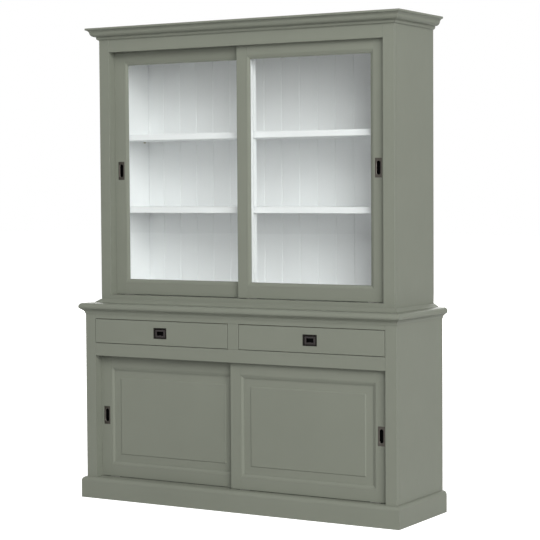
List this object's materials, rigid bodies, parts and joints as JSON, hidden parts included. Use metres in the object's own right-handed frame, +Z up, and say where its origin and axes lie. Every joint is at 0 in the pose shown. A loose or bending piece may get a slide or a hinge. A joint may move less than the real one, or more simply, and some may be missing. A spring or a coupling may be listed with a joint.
{
  "type": "china cabinet",
  "caption": "Painted two-part china cabinet: a base with drawers and sliding raised-panel doors, and a shelved hutch with sliding glass doors under a moulded cornice.",
  "frame": {"origin": "on the floor, below the middle of the whole outline", "axes": "+Z up; the front faces -Y and the wall side +Y; +X is to the viewer's right"},
  "size_m": [1.68, 0.48, 2.2],
  "materials": {
    "paint": "eggshell paint, grey green",
    "white": "eggshell paint, white",
    "timber": "bare softwood",
    "glass": "clear float glass",
    "bronze": "dark bronze, oiled",
    "nylon": "moulded nylon",
    "brass": "turned, satin"
  },
  "bodies": {
    "cabinet": {"base_side_left": "paint", "base_side_right": "paint", "base_bottom": "timber", "base_back": "timber", "base_face_frame": "paint", "base_partition": "timber", "base_dust_board": "timber", "drawer_guides": "timber", "base_shelf": "white", "lower_door_tracks": "timber", "plinth": "paint", "worktop": "paint", "bed_moulding": "paint", "hutch_side_left": "paint", "hutch_side_right": "paint", "hutch_top": "paint", "hutch_bottom": "white", "hutch_back_boards": "white", "hutch_face_frame": "paint", "hutch_shelf_lower": "white", "hutch_shelf_upper": "white", "centre_posts": "white", "shelf_supports": "brass", "upper_door_tracks": "timber", "cornice": "paint", "hutch_foot_moulding": "paint", "locating_dowels": "timber"},
    "upper_left_door": {"upper_left_door_stiles": "paint", "upper_left_door_rails": "paint", "upper_left_door_glass": "glass", "upper_left_door_beads": "paint", "upper_left_door_pull": "bronze", "upper_left_door_glides": "nylon"},
    "upper_right_door": {"upper_right_door_stiles": "paint", "upper_right_door_rails": "paint", "upper_right_door_glass": "glass", "upper_right_door_beads": "paint", "upper_right_door_pull": "bronze", "upper_right_door_glides": "nylon"},
    "lower_left_door": {"lower_left_door_stiles": "paint", "lower_left_door_rails": "paint", "lower_left_door_panel": "paint", "lower_left_door_moulding": "paint", "lower_left_door_pull": "bronze", "lower_left_door_glides": "nylon"},
    "lower_right_door": {"lower_right_door_stiles": "paint", "lower_right_door_rails": "paint", "lower_right_door_panel": "paint", "lower_right_door_moulding": "paint", "lower_right_door_pull": "bronze", "lower_right_door_glides": "nylon"},
    "left_drawer": {"left_drawer_front": "paint", "left_drawer_box": "timber", "left_drawer_pull_plate": "bronze"},
    "left_ring": {"left_drawer_ring": "bronze"},
    "right_drawer": {"right_drawer_front": "paint", "right_drawer_box": "timber", "right_drawer_pull_plate": "bronze"},
    "right_ring": {"right_drawer_ring": "bronze"}
  },
  "joints": [
    {"name": "upper_left_door_slide", "type": "slide", "parent": "cabinet", "child": "upper_left_door", "axis": [1, 0, 0], "range_m": [0, 0.6875]},
    {"name": "upper_right_door_slide", "type": "slide", "parent": "cabinet", "child": "upper_right_door", "axis": [-1, 0, 0], "range_m": [0, 0.6875]},
    {"name": "lower_left_door_slide", "type": "slide", "parent": "cabinet", "child": "lower_left_door", "axis": [1, 0, 0], "range_m": [0, 0.7305]},
    {"name": "lower_right_door_slide", "type": "slide", "parent": "cabinet", "child": "lower_right_door", "axis": [-1, 0, 0], "range_m": [0, 0.7305]},
    {"name": "left_drawer_slide", "type": "slide", "parent": "cabinet", "child": "left_drawer", "axis": [0, -1, 0], "range_m": [0, 0.3]},
    {"name": "left_ring_swing", "type": "hinge", "parent": "left_drawer", "child": "left_ring", "pos_m": [-0.39375, -0.21295, 0.8], "axis": [-1, 0, 0], "range_deg": [0, 90]},
    {"name": "right_drawer_slide", "type": "slide", "parent": "cabinet", "child": "right_drawer", "axis": [0, -1, 0], "range_m": [0, 0.3]},
    {"name": "right_ring_swing", "type": "hinge", "parent": "right_drawer", "child": "right_ring", "pos_m": [0.39375, -0.21295, 0.8], "axis": [-1, 0, 0], "range_deg": [0, 90]}
  ]
}
